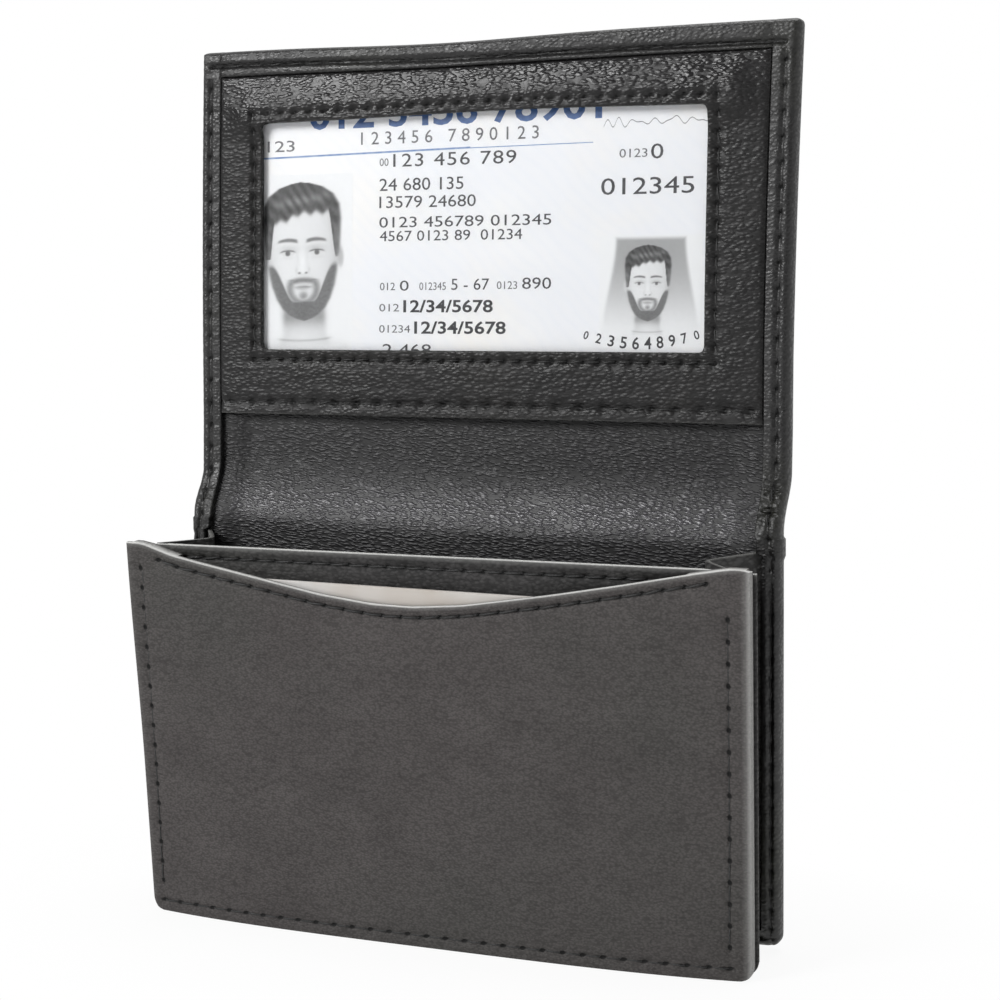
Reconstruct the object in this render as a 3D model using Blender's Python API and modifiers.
"""Leather card holder with a bellows pocket, a card window in the flap and two soft folds.

Metres, +Z up, front towards -Y. It stands on its bottom edges with the flap open, as in use.
The cover, the lining and the bellows are split at their folds, so that every fold is a hinge line.
"""

import math

import bmesh
import bpy
from mathutils import Matrix, Vector

# Cards of the usual bank-card size, which set the holder's width and heights
CARD_WIDTH = 0.0856
CARD_HEIGHT = 0.05398
CARD_THICKNESS = 0.00076
CARD_RADIUS = 0.00318

# The card behind the window, the card in the front pocket, and the room round each
CARD_SIDE_ROOM = 0.0112
CARD_EDGE_PLAY = 0.0016
ID_CARD_FLOOR = 0.0025
ID_CARD_HEAD_ROOM = 0.00262
POCKET_CARD_FLOOR = 0.0045
POCKET_CARD_SINK = 0.00552
POCKET_CARD_TILT = math.radians(0.7)
POCKET_CARD_SHIFT = -0.0005

# How it stands: the flap leans back, and the spine steps back in a soft S to meet it
FLAP_LEAN = math.radians(3.6)
FLAP_SETBACK = 0.0049
STEP_LOW = 0.0047
STEP_HIGH = 0.0102
SPINE_STEPS = 20

# Leather and its layers
COVER_SKIN = 0.001
LINING_SKIN = 0.0006
PANEL_SKIN = 0.0008
HEM_SKIN = 0.0008
GUSSET_SKIN = 0.0007
LAYER_GAP = 0.0002

# Turned hems: how far each laps over the inside, and how far the lining reaches under it
SIDE_HEM = 0.0042
TOP_HEM = 0.0047
BACK_HEM = 0.003
UNDER_HEM = 0.0022
FOLD_GAP = 0.0003
FOLD_BACK = math.radians(30)
FOLD_BACK_SPARE = math.radians(1.5)

# Overall sizes of the open holder
COVER_WIDTH = CARD_WIDTH + 2 * CARD_SIDE_ROOM
POCKET_HEIGHT = POCKET_CARD_FLOOR + CARD_HEIGHT + POCKET_CARD_SINK
FLAP_HEIGHT = ID_CARD_FLOOR + CARD_HEIGHT + ID_CARD_HEAD_ROOM + TOP_HEM
SPINE_HEIGHT = 0.0194
CORNER_RADIUS = 0.0018

# Window in the flap, and how far it laps over the card at each edge
WINDOW_SIDE_LAP = 0.0022
WINDOW_LOW_LAP = 0.0093
WINDOW_TOP_LAP = 0.00568
WINDOW_SHIFT = -0.0006
WINDOW_WIDTH = CARD_WIDTH - 2 * WINDOW_SIDE_LAP
WINDOW_HEIGHT = CARD_HEIGHT - WINDOW_LOW_LAP - WINDOW_TOP_LAP
WINDOW_FLOOR = ID_CARD_FLOOR + WINDOW_LOW_LAP
FILM_SKIN = 0.0002
FILM_GAP = 0.00015
FILM_LAP = 0.003
PANEL_SLOPE = 0.0022

# Front pocket unit, which stands forward of the back on the bellows
POCKET_REACH = 0.01905
POCKET_TURN = math.radians(1.8)
POCKET_LEAN = math.radians(1.6)
FRONT_SKIN = 0.001
DIVIDER_SKIN = 0.0008
TOP_SPREAD = 0.0004
BOTTOM_DRAW = 0.0011
TOP_WIDTH = COVER_WIDTH + TOP_SPREAD
BOTTOM_WIDTH = COVER_WIDTH - BOTTOM_DRAW
BOTTOM_SHIFT = 0.0006
DIVIDER_DROP = 0.0006
SCOOP_CENTRE = -0.0039
SCOOP_SLOPE = math.radians(11.2)
SCOOP_RADIUS = 0.093
SCOOP_DIP = 0.0085

# Bellows: two leaves a side, folded inwards
GUSSET_INSET = 0.0007
GUSSET_TOP_DROP = 0.0015
GUSSET_MITRE_GAP = 0.0007
GUSSET_FRONT_GAP = 0.0003
LEFT_LEAF_ANGLE = math.radians(57)
RIGHT_LEAF_ANGLE = math.radians(46)
BOTTOM_LEAF_ANGLE = math.radians(50)

# Sewing thread, and how far each seam lies from its edge
THREAD_RADIUS = 0.0002
THREAD_STEPS = 2
HEM_SEAM_INSET = 0.0009
WINDOW_SEAM_INSET = 0.0017
PANEL_SEAM_INSET = 0.002
SCOOP_SEAM_INSET = 0.0018
DIVIDER_SEAM_INSET = 0.0021
POCKET_SEAM_INSET = 0.0021
SEAM_END = 0.0015
SEAM_CLEARANCE = 0.0001
THREAD_CORNER = 0.0012

# How far a cutter runs past what it opens, and how finely rounds are drawn
CUT_SPARE = 0.0003
ARC_STEPS = 6
SCOOP_STEPS = 18

# Depths measured forwards from the rear face of the cover
LINING_REAR = COVER_SKIN + LAYER_GAP
LINING_FRONT = LINING_REAR + LINING_SKIN
SLOT_FRONT = LINING_FRONT + LAYER_GAP
MARGIN_FRONT = SLOT_FRONT + PANEL_SKIN
HEM_FRONT = MARGIN_FRONT + LAYER_GAP + HEM_SKIN
CARD_FRONT = SLOT_FRONT + CARD_THICKNESS
FILM_FRONT = CARD_FRONT + FILM_GAP + FILM_SKIN
PANEL_FRONT = FILM_FRONT + FILM_GAP + PANEL_SKIN

# Depths of the pocket unit, measured backwards from its front face. The card slides clear of the divider's seam
POCKET_CARD_REAR = FRONT_SKIN + LAYER_GAP + CARD_THICKNESS
MARGIN_REAR = POCKET_CARD_REAR + SEAM_CLEARANCE + 2 * THREAD_RADIUS
DIVIDER_FRONT = MARGIN_REAR + LAYER_GAP
DIVIDER_REAR = DIVIDER_FRONT + DIVIDER_SKIN

# Fold lines, which lie on the front face of the hems
LOWER_FOLD_Z = POCKET_HEIGHT + FOLD_GAP
HALF_WIDTH = COVER_WIDTH / 2

# The model's middle in depth lies over the origin
REAR_REACH = FLAP_SETBACK + FLAP_HEIGHT * math.sin(FLAP_LEAN)
FRONT_REACH = POCKET_REACH + TOP_WIDTH / 2 * math.sin(POCKET_TURN) + POCKET_HEIGHT * math.sin(POCKET_LEAN)
DEPTH_MIDDLE = (REAR_REACH - FRONT_REACH - LAYER_GAP - 2 * THREAD_RADIUS) / 2


def clear_scene():
    for thing in list(bpy.data.objects):
        bpy.data.objects.remove(thing, do_unlink=True)


def make_collection(name):
    collection = bpy.data.collections.new(name)
    bpy.context.scene.collection.children.link(collection)
    return collection


def make_material(name, colour, roughness):
    material = bpy.data.materials.new(name)
    material.use_nodes = True
    shader = material.node_tree.nodes["Principled BSDF"]
    shader.inputs["Base Color"].default_value = (*colour, 1)
    shader.inputs["Roughness"].default_value = roughness
    shader.inputs["Metallic"].default_value = 0
    return material


def make_empty(name, place, turn=(0, 0, 0), parent=None):
    empty = bpy.data.objects.new(name, None)
    empty.empty_display_size = 0.01
    empty.location = place
    empty.rotation_euler = turn
    empty.parent = parent
    parts.objects.link(empty)
    return empty


def add_object(name, data, frame, material=None, group=None):
    made = bpy.data.objects.new(name, data)
    made.parent = frame
    (group or parts).objects.link(made)
    if material:
        data.materials.append(material)
    return made


def arc(centre, radius, start, end, steps):
    """Points of an arc from one angle to another, both ends included."""
    turns = [start + (end - start) * i / steps for i in range(steps + 1)]
    return [(centre[0] + radius * math.cos(t), centre[1] + radius * math.sin(t)) for t in turns]


def rounded(corners, radius, steps=ARC_STEPS, closed=True):
    """A corner list with every inner corner rounded. A corner may carry its own radius as a third value."""
    points = []
    count = len(corners)
    for i, corner in enumerate(corners):
        here = Vector(corner[:2])
        own = corner[2] if len(corner) > 2 else radius
        if own == 0 or (not closed and i in (0, count - 1)):
            points.append(tuple(here))
            continue
        back = (Vector(corners[i - 1][:2]) - here).normalized()
        ahead = (Vector(corners[(i + 1) % count][:2]) - here).normalized()
        half = back.angle(ahead) / 2
        reach = own / math.tan(half)
        centre = here + (back + ahead).normalized() * own / math.sin(half)
        first = here + back * reach - centre
        last = here + ahead * reach - centre
        sweep = first.angle_signed(last)
        for k in range(steps + 1):
            # angle_signed is clockwise positive
            turned = Matrix.Rotation(-sweep * k / steps, 2) @ first
            points.append(tuple(centre + turned))
    return points


def box_outline(left, right, low, high):
    return [(left, low), (right, low), (right, high), (left, high)]


def add_spline(curve, points, closed=True):
    spline = curve.splines.new("POLY")
    spline.points.add(len(points) - 1)
    for place, point in zip(points, spline.points):
        x, y, z = place if len(place) == 3 else (*place, 0)
        point.co = (x, y, z, 1)
    spline.use_cyclic_u = closed


def flat_piece(name, outline, front, thickness, frame, material=None, group=None):
    """A standing plate: the outline is (x, z), and the front face lies at the given depth along +Y."""
    curve = bpy.data.curves.new(name, "CURVE")
    curve.dimensions = "2D"
    curve.fill_mode = "BOTH"
    curve.extrude = thickness / 2
    add_spline(curve, outline)
    made = add_object(name, curve, frame, material, group)
    made.rotation_euler = (math.pi / 2, 0, 0)
    made.location = (0, front + thickness / 2, 0)
    return made


def cross_piece(name, profile, width, frame, material=None, group=None):
    """A bar across the holder: the profile is (y, z), and the width runs along X about the middle."""
    curve = bpy.data.curves.new(name, "CURVE")
    curve.dimensions = "2D"
    curve.fill_mode = "BOTH"
    curve.extrude = width / 2
    add_spline(curve, profile)
    made = add_object(name, curve, frame, material, group)
    made.rotation_euler = (math.pi / 2, 0, math.pi / 2)
    return made


def as_mesh(piece):
    """The same piece as a welded mesh, which can be cut."""
    bpy.context.view_layer.update()
    graph = bpy.context.evaluated_depsgraph_get()
    data = bpy.data.meshes.new_from_object(piece.evaluated_get(graph))
    body = bmesh.new()
    body.from_mesh(data)
    bmesh.ops.remove_doubles(body, verts=body.verts, dist=1e-6)
    bmesh.ops.recalc_face_normals(body, faces=body.faces)
    body.to_mesh(data)
    body.free()
    name, curve = piece.name, piece.data
    made = bpy.data.objects.new(name + "_mesh", data)
    made.parent = piece.parent
    made.matrix_basis = piece.matrix_basis.copy()
    piece.users_collection[0].objects.link(made)
    bpy.data.objects.remove(piece)
    bpy.data.curves.remove(curve)
    made.name = name
    return made


def as_cutter(piece):
    made = as_mesh(piece)
    made.display_type = "WIRE"
    made.hide_render = True
    return made


def cut(piece, *tools):
    for tool in tools:
        modifier = piece.modifiers.new(tool.name, "BOOLEAN")
        modifier.operation = "DIFFERENCE"
        modifier.object = tool


def thread(name, points, frame, material, closed=False):
    """Sewing thread as a fine round tube through points (x, y, z)."""
    curve = bpy.data.curves.new(name, "CURVE")
    curve.dimensions = "3D"
    curve.bevel_depth = THREAD_RADIUS
    curve.bevel_resolution = THREAD_STEPS
    curve.use_fill_caps = not closed
    add_spline(curve, points, closed)
    return add_object(name, curve, frame, material)


def on_face(points, depth):
    """Flat (x, z) points carried to a thread's height in front of a face."""
    lift = LAYER_GAP + THREAD_RADIUS
    return [(x, depth - lift, z) for x, z in points]


def fold_clearance(depth):
    """How far from a fold line the leather has to stay, at a depth behind it, to bend back past straight."""
    return depth * math.tan(FOLD_BACK / 2 + FOLD_BACK_SPARE)


def fold_wedge(name, frame):
    """What a fold clears away."""
    reach = HEM_FRONT + COVER_SKIN
    open_half = fold_clearance(reach)
    profile = [(0, 0), (reach, -open_half), (reach, open_half)]
    return as_cutter(cross_piece(name, profile, COVER_WIDTH * 1.2, frame, group=tools))


def spine_line(depth):
    """The spine's profile (y, z) at a depth in front of the cover's rear face, from fold to fold."""
    points = []
    for i in range(SPINE_STEPS + 1):
        z = FOLD_GAP / 2 + (SPINE_HEIGHT - FOLD_GAP) * i / SPINE_STEPS
        t = min(max((z - STEP_LOW) / (STEP_HIGH - STEP_LOW), 0), 1)
        ease = t * t * (3 - 2 * t)
        leaning = FLAP_SETBACK - (SPINE_HEIGHT - z) * math.tan(FLAP_LEAN)
        points.append((HEM_FRONT - depth + leaning * ease, z))
    return points


def spine_band(rear, front, spare=0.0):
    """The closed profile between two depths, lengthened past both folds by the spare."""
    back_line, front_line = spine_line(rear), spine_line(front)
    slope = math.tan(FLAP_LEAN)
    for line in (back_line, front_line):
        line.insert(0, (line[0][0], line[0][1] - spare))
        line.append((line[-1][0] + spare * slope, line[-1][1] + spare))
    if spare == 0:
        back_line, front_line = back_line[1:-1], front_line[1:-1]
    return back_line + front_line[::-1]


def turned_cover(name, outline, slot_front, slot, mouth, frame, wedges):
    """Cover leather whose edges are turned over the inside: a slot holds the layers, a mouth shows them."""
    cover = as_mesh(flat_piece(name, outline, 0, HEM_FRONT, frame))
    cover.data.materials.append(cover_leather)
    inside = HEM_FRONT - COVER_SKIN - slot_front
    slot_tool = as_cutter(flat_piece(name + "_slot", box_outline(**slot), slot_front, inside, frame, group=tools))
    deep = HEM_FRONT - COVER_SKIN + CUT_SPARE
    mouth_tool = as_cutter(flat_piece(name + "_mouth", box_outline(**mouth), -CUT_SPARE, deep, frame, group=tools))
    cut(cover, slot_tool, mouth_tool, *wedges)
    return cover


def back_pieces(frame, wedge):
    """Rear panel: cover, lining and the seam that holds the bellows. Its frame stands on the lower fold."""
    floor, top = -LOWER_FOLD_Z, -FOLD_GAP / 2
    outline = rounded([(-HALF_WIDTH, floor), (HALF_WIDTH, floor), (HALF_WIDTH, top, 0), (-HALF_WIDTH, top, 0)],
                      CORNER_RADIUS)
    inner = HALF_WIDTH - BACK_HEM
    under = inner + UNDER_HEM
    slot = {"left": -under, "right": under, "low": floor + BACK_HEM - UNDER_HEM, "high": top + COVER_SKIN}
    mouth = {"left": -inner, "right": inner, "low": floor + BACK_HEM, "high": top + COVER_SKIN}
    turned_cover("back_cover", outline, HEM_FRONT - SLOT_FRONT, slot, mouth, frame, [wedge])
    lining_edge = under - LAYER_GAP
    lining = as_mesh(flat_piece("back_lining", box_outline(-lining_edge, lining_edge, slot["low"] + LAYER_GAP, top),
                                HEM_FRONT - LINING_FRONT, LINING_SKIN, frame))
    lining.data.materials.append(lining_leather)
    cut(lining, wedge)
    seam_x = HALF_WIDTH - BACK_HEM / 2
    seam_low = floor + BACK_HEM / 2
    route = rounded([(-seam_x, -SEAM_END), (-seam_x, seam_low), (seam_x, seam_low), (seam_x, -SEAM_END)],
                    THREAD_CORNER, closed=False)
    thread("back_seam_thread", on_face(route, 0), frame, black_thread)


def spine_pieces(frame, wedges):
    """The soft strip between the two folds, in its own frame on the lower fold."""
    cover = as_mesh(cross_piece("spine_cover", spine_band(0, HEM_FRONT), COVER_WIDTH, frame))
    cover.data.materials.append(cover_leather)
    inner = HALF_WIDTH - SIDE_HEM
    under = inner + UNDER_HEM
    slot = as_cutter(cross_piece("spine_slot", spine_band(COVER_SKIN, SLOT_FRONT, COVER_SKIN), under * 2, frame,
                                 group=tools))
    mouth = as_cutter(cross_piece("spine_mouth", spine_band(COVER_SKIN, HEM_FRONT + COVER_SKIN, COVER_SKIN),
                                  inner * 2, frame, group=tools))
    cut(cover, slot, mouth, *wedges)
    lining = as_mesh(cross_piece("spine_lining", spine_band(LINING_REAR, LINING_FRONT),
                                 (under - LAYER_GAP) * 2, frame))
    lining.data.materials.append(lining_leather)
    cut(lining, *wedges)


def window_sheet(frame):
    """Window panel: an open sheet with its window, sunk under the hems at three sides, then given its skin."""
    inner = HALF_WIDTH - SIDE_HEM
    edge = inner + UNDER_HEM - LAYER_GAP
    crest = inner - PANEL_SLOPE
    low = fold_clearance(HEM_FRONT - SLOT_FRONT) + LAYER_GAP
    hem_line = FLAP_HEIGHT - TOP_HEM
    left = WINDOW_SHIFT - WINDOW_WIDTH / 2
    right = WINDOW_SHIFT + WINDOW_WIDTH / 2
    columns = [-edge, -inner, -crest, left, right, crest, inner, edge]
    ceiling = WINDOW_FLOOR + WINDOW_HEIGHT
    rows = [low, WINDOW_FLOOR, ceiling, hem_line - PANEL_SLOPE, hem_line, hem_line + UNDER_HEM - LAYER_GAP]
    high_face = HEM_FRONT - PANEL_FRONT
    low_face = HEM_FRONT - MARGIN_FRONT
    body = bmesh.new()
    grid = {}
    for i, x in enumerate(columns):
        for k, z in enumerate(rows):
            sunk = abs(x) > crest + 1e-6 or z > hem_line - PANEL_SLOPE + 1e-6
            grid[i, k] = body.verts.new((x, low_face if sunk else high_face, z))
    for i in range(len(columns) - 1):
        for k in range(len(rows) - 1):
            in_window = columns[i] == left and rows[k] == WINDOW_FLOOR
            if not in_window:
                body.faces.new([grid[i, k], grid[i + 1, k], grid[i + 1, k + 1], grid[i, k + 1]])
    data = bpy.data.meshes.new("window_panel")
    body.to_mesh(data)
    body.free()
    panel = add_object("window_panel", data, frame, panel_leather)
    skin = panel.modifiers.new("skin", "SOLIDIFY")
    skin.thickness = PANEL_SKIN
    skin.offset = -1
    return left, right, ceiling


def flap_pieces(frame, wedge):
    """The flap in its own frame on the upper fold: cover, lining, window panel, film and seams."""
    foot = FOLD_GAP / 2
    outline = rounded([(-HALF_WIDTH, foot, 0), (HALF_WIDTH, foot, 0),
                       (HALF_WIDTH, FLAP_HEIGHT), (-HALF_WIDTH, FLAP_HEIGHT)], CORNER_RADIUS)
    inner = HALF_WIDTH - SIDE_HEM
    under = inner + UNDER_HEM
    hem_line = FLAP_HEIGHT - TOP_HEM
    slot = {"left": -under, "right": under, "low": -COVER_SKIN, "high": hem_line + UNDER_HEM}
    mouth = {"left": -inner, "right": inner, "low": -COVER_SKIN, "high": hem_line}
    turned_cover("flap_cover", outline, HEM_SKIN, slot, mouth, frame, [wedge])
    lining_edge = under - LAYER_GAP
    lining = as_mesh(flat_piece("flap_lining", box_outline(-lining_edge, lining_edge, foot, slot["high"] - LAYER_GAP),
                                HEM_FRONT - LINING_FRONT, LINING_SKIN, frame))
    lining.data.materials.append(lining_leather)
    cut(lining, wedge)
    left, right, ceiling = window_sheet(frame)
    flat_piece("window_film", box_outline(left - FILM_LAP, right + FILM_LAP, WINDOW_FLOOR - FILM_LAP,
                                          ceiling + FILM_LAP),
               HEM_FRONT - FILM_FRONT, FILM_SKIN, frame, clear_film)
    seam_x = inner + HEM_SEAM_INSET
    seam_top = hem_line + HEM_SEAM_INSET
    route = rounded([(-seam_x, SEAM_END), (-seam_x, seam_top), (seam_x, seam_top), (seam_x, SEAM_END)],
                    THREAD_CORNER, closed=False)
    thread("hem_thread", on_face(route, 0), frame, black_thread)
    panel_face = HEM_FRONT - PANEL_FRONT
    ring = rounded(box_outline(left - WINDOW_SEAM_INSET, right + WINDOW_SEAM_INSET,
                               WINDOW_FLOOR - WINDOW_SEAM_INSET, ceiling + WINDOW_SEAM_INSET), THREAD_CORNER)
    thread("window_thread", on_face(ring, panel_face), frame, black_thread, closed=True)
    crest = inner - PANEL_SLOPE
    edge_row = [(-crest, PANEL_SEAM_INSET), (0, PANEL_SEAM_INSET), (crest, PANEL_SEAM_INSET)]
    thread("panel_edge_thread", on_face(edge_row, panel_face), frame, black_thread)


def card_outline():
    half = CARD_WIDTH / 2
    return rounded(box_outline(-half, half, 0, CARD_HEIGHT), CARD_RADIUS)


def id_card(frame):
    """The card behind the window. Its frame lies on the flap's."""
    flat_piece("id_card", card_outline(), HEM_FRONT - CARD_FRONT, CARD_THICKNESS, frame, card_plastic)


def scoop_edge(drop, half_left, half_right):
    """The dipped top edge of the front panel, left to right: two straight rises and a wide round between."""
    slope = math.tan(SCOOP_SLOPE)
    lowest = POCKET_HEIGHT - SCOOP_DIP - drop
    apex = lowest - SCOOP_RADIUS * (1 / math.cos(SCOOP_SLOPE) - 1)
    centre = (SCOOP_CENTRE, lowest + SCOOP_RADIUS)
    down = -math.pi / 2
    bowl = arc(centre, SCOOP_RADIUS, down - SCOOP_SLOPE, down + SCOOP_SLOPE, SCOOP_STEPS)
    ceiling = POCKET_HEIGHT - drop
    first = (-half_left, min(apex + (half_left + SCOOP_CENTRE) * slope, ceiling))
    rise = SCOOP_CENTRE + (ceiling - apex) / slope
    last = [(rise, ceiling), (half_right, ceiling)] if rise < half_right else [
        (half_right, apex + (half_right - SCOOP_CENTRE) * slope)]
    return [first, *bowl, *last]


def pocket_side(z):
    """Half width of the pocket unit at a height, and the shift of its middle."""
    share = z / POCKET_HEIGHT
    half = (BOTTOM_WIDTH + (TOP_WIDTH - BOTTOM_WIDTH) * share) / 2
    return half, BOTTOM_SHIFT * (1 - share)


def front_panel(frame):
    """The scooped front, with the sewn margin that keeps room for a card behind it."""
    top_half = TOP_WIDTH / 2
    foot, shift = pocket_side(0)
    edge = scoop_edge(0, top_half, top_half)
    corners = [(shift - foot, 0), (shift + foot, 0), (*edge[-1], 0), *[(*p, 0) for p in edge[-2::-1]]]
    outline = rounded(corners, CORNER_RADIUS)
    panel = as_mesh(flat_piece("front_panel", outline, 0, MARGIN_REAR, frame))
    panel.data.materials.append(front_leather)
    room = CARD_WIDTH / 2 + CARD_EDGE_PLAY
    room_floor = POCKET_CARD_FLOOR - CARD_EDGE_PLAY
    hollow = box_outline(POCKET_CARD_SHIFT - room, POCKET_CARD_SHIFT + room, room_floor, POCKET_HEIGHT * 1.1)
    deep = MARGIN_REAR - FRONT_SKIN
    cut(panel, as_cutter(flat_piece("card_room", hollow, FRONT_SKIN, deep + CUT_SPARE, frame, group=tools)))


def pocket_pieces(frame):
    """Front pocket unit in its own frame: scooped front, divider and three seams."""
    front_panel(frame)
    foot, shift = pocket_side(0)
    divider_top = POCKET_HEIGHT - DIVIDER_DROP
    head, head_shift = pocket_side(divider_top)
    corners = [(shift - foot, 0), (shift + foot, 0), (head_shift + head, divider_top, 0),
               (head_shift - head, divider_top, 0)]
    flat_piece("divider_panel", rounded(corners, CORNER_RADIUS), DIVIDER_FRONT, DIVIDER_SKIN, frame, divider_leather)
    seam_foot = foot - POCKET_SEAM_INSET
    top_half = TOP_WIDTH / 2 - POCKET_SEAM_INSET
    thread_low = POCKET_SEAM_INSET
    start = scoop_edge(SCOOP_SEAM_INSET, top_half, top_half)
    clear = SCOOP_SEAM_INSET
    route = rounded([(-top_half, start[0][1] - clear), (shift - seam_foot, thread_low),
                     (shift + seam_foot, thread_low), (top_half, start[-1][1] - clear)],
                    THREAD_CORNER, closed=False)
    thread("pocket_seam_thread", on_face(route, 0), frame, black_thread)
    thread("scoop_thread", on_face(start, 0), frame, black_thread)
    row = CARD_WIDTH / 2
    row_z = divider_top - DIVIDER_SEAM_INSET
    divider_row = [(-row, row_z), (0, row_z), (row, row_z)]
    thread("divider_thread", on_face(divider_row, DIVIDER_FRONT), frame, black_thread)


def front_card(frame):
    card = flat_piece("front_card", card_outline(), FRONT_SKIN + LAYER_GAP, CARD_THICKNESS, frame, plain_card)
    card.rotation_euler = (math.pi / 2, POCKET_CARD_TILT, 0)
    card.location.x = POCKET_CARD_SHIFT
    card.location.z = POCKET_CARD_FLOOR


def leaf(name, corners, outwards, frame):
    """One bellows leaf: a flat sheet through its corners, thickened on the side away from the fold."""
    body = bmesh.new()
    face = body.faces.new([body.verts.new(c) for c in corners])
    body.normal_update()
    if face.normal.dot(outwards) < 0:
        face.normal_flip()
    data = bpy.data.meshes.new(name)
    body.to_mesh(data)
    body.free()
    made = add_object(name, data, frame, gusset_leather)
    skin = made.modifiers.new("skin", "SOLIDIFY")
    skin.thickness = GUSSET_SKIN
    skin.offset = 1
    return made


def pocket_rear(x, z, frame):
    """Where the divider's rear face stands, as a world Y, for a point across and up the pocket."""
    place = Vector((x, DIVIDER_REAR, z))
    return (frame.matrix_world @ place).y


def leaf_lengths(depths, angle):
    return [depth / (2 * math.sin(angle)) for depth in depths]


def side_bellows(side, angle, root_frame, pocket_frame):
    """Two leaves at one side. side is -1 at the left and 1 at the right, and angle is from the back's plane."""
    word = "left" if side < 0 else "right"
    hinge_y = -SLOT_FRONT - GUSSET_SKIN - LAYER_GAP
    hinge_x = side * (HALF_WIDTH - BACK_HEM - GUSSET_INSET)
    base = BACK_HEM + GUSSET_INSET
    top = POCKET_HEIGHT - GUSSET_TOP_DROP
    front_spare = GUSSET_FRONT_GAP + GUSSET_SKIN
    depths = [-(pocket_rear(side * HALF_WIDTH, z, pocket_frame) + front_spare - root_shift - hinge_y)
              for z in (top, base)]
    long, short = leaf_lengths(depths, angle)
    inward, forward = -side * math.cos(angle), -math.sin(angle)
    low = base + GUSSET_MITRE_GAP
    rear = make_empty(word + "_rear_fold", (hinge_x, hinge_y, 0), parent=root_frame)
    seam = FOLD_GAP / 2
    rear_corners = [(inward * seam, forward * seam, top), (inward * (long - seam), forward * (long - seam), top),
                    (inward * (short - seam), forward * (short - seam), low + short),
                    (inward * seam, forward * seam, low)]
    leaf(word + "_gusset_rear", rear_corners, Vector((inward * math.tan(angle), abs(inward), 0)), rear)
    crest = make_empty(word + "_crest_fold", (inward * long, forward * long, top), parent=rear)
    back_in = Vector((inward * (short - long), forward * (short - long), low + short - top))
    outward = -inward
    front_corners = [(outward * seam, forward * seam, 0),
                     (outward * (long - seam), forward * (long - seam), 0),
                     (back_in.x + outward * (short - seam), back_in.y + forward * (short - seam), low - top),
                     (back_in.x + outward * seam, back_in.y + forward * seam, back_in.z)]
    leaf(word + "_gusset_front", front_corners, Vector((inward * math.tan(angle), -abs(inward), 0)), crest)


def bottom_bellows(root_frame, pocket_frame):
    """Two leaves along the bottom. The front leaf tapers, because the pocket stands a little turned."""
    angle = BOTTOM_LEAF_ANGLE
    hinge_y = -SLOT_FRONT - GUSSET_SKIN - LAYER_GAP
    base = BACK_HEM + GUSSET_INSET
    front_spare = GUSSET_FRONT_GAP + GUSSET_SKIN
    reach = HALF_WIDTH - BACK_HEM - GUSSET_INSET - GUSSET_MITRE_GAP
    depths = [-(pocket_rear(x, base, pocket_frame) + front_spare - root_shift - hinge_y) for x in (-reach, reach)]
    length = sum(depths) / 2 / (2 * math.sin(angle))
    upward, forward = math.cos(angle), -math.sin(angle)
    rear = make_empty("bottom_rear_fold", (0, hinge_y, base), parent=root_frame)
    seam = FOLD_GAP / 2
    inner = reach - length
    rear_corners = [(-reach, forward * seam, upward * seam), (reach, forward * seam, upward * seam),
                    (inner, forward * (length - seam), upward * (length - seam)),
                    (-inner, forward * (length - seam), upward * (length - seam))]
    leaf("bottom_gusset_rear", rear_corners, Vector((0, upward, -forward)), rear)
    crest = make_empty("bottom_crest_fold", (0, forward * length, upward * length), parent=rear)
    rest = [depth / math.sin(angle) - length for depth in depths]
    front_corners = [(-inner, forward * seam, -upward * seam), (inner, forward * seam, -upward * seam),
                     (inner + rest[1], forward * rest[1], -upward * rest[1]),
                     (-inner - rest[0], forward * rest[0], -upward * rest[0])]
    leaf("bottom_gusset_front", front_corners, Vector((0, -upward, -forward)), crest)


clear_scene()
parts = make_collection("card_holder")
tools = make_collection("cutters")

cover_leather = make_material("cover_leather", (0.025, 0.024, 0.025), 0.5)
lining_leather = make_material("lining_leather", (0.035, 0.034, 0.037), 0.45)
panel_leather = make_material("panel_leather", (0.03, 0.028, 0.029), 0.5)
front_leather = make_material("front_leather", (0.07, 0.068, 0.067), 0.55)
divider_leather = make_material("divider_leather", (0.04, 0.039, 0.04), 0.55)
gusset_leather = make_material("gusset_leather", (0.02, 0.02, 0.021), 0.6)
black_thread = make_material("black_thread", (0.008, 0.008, 0.008), 0.7)
clear_film = make_material("clear_film", (0.85, 0.87, 0.9), 0.1)
card_plastic = make_material("card_plastic", (0.78, 0.81, 0.86), 0.35)
plain_card = make_material("plain_card", (0.8, 0.8, 0.78), 0.4)

root_shift = -DEPTH_MIDDLE
holder = make_empty("holder", (0, root_shift, 0))
lower_fold = make_empty("lower_fold", (0, -HEM_FRONT, LOWER_FOLD_Z), parent=holder)
upper_fold = make_empty("upper_fold", (0, FLAP_SETBACK, SPINE_HEIGHT), turn=(-FLAP_LEAN, 0, 0), parent=lower_fold)
pocket = make_empty("pocket", (0, -POCKET_REACH, 0), turn=(POCKET_LEAN, 0, POCKET_TURN), parent=holder)
card_slide = make_empty("card_slide", (WINDOW_SHIFT, 0, ID_CARD_FLOOR), parent=upper_fold)
bpy.context.view_layer.update()

lower_wedge = fold_wedge("lower_wedge", lower_fold)
upper_wedge = fold_wedge("upper_wedge", upper_fold)
back_pieces(lower_fold, lower_wedge)
spine_pieces(lower_fold, [lower_wedge, upper_wedge])
flap_pieces(upper_fold, upper_wedge)
id_card(card_slide)
pocket_pieces(pocket)
front_card(pocket)
side_bellows(-1, LEFT_LEAF_ANGLE, holder, pocket)
side_bellows(1, RIGHT_LEAF_ANGLE, holder, pocket)
bottom_bellows(holder, pocket)
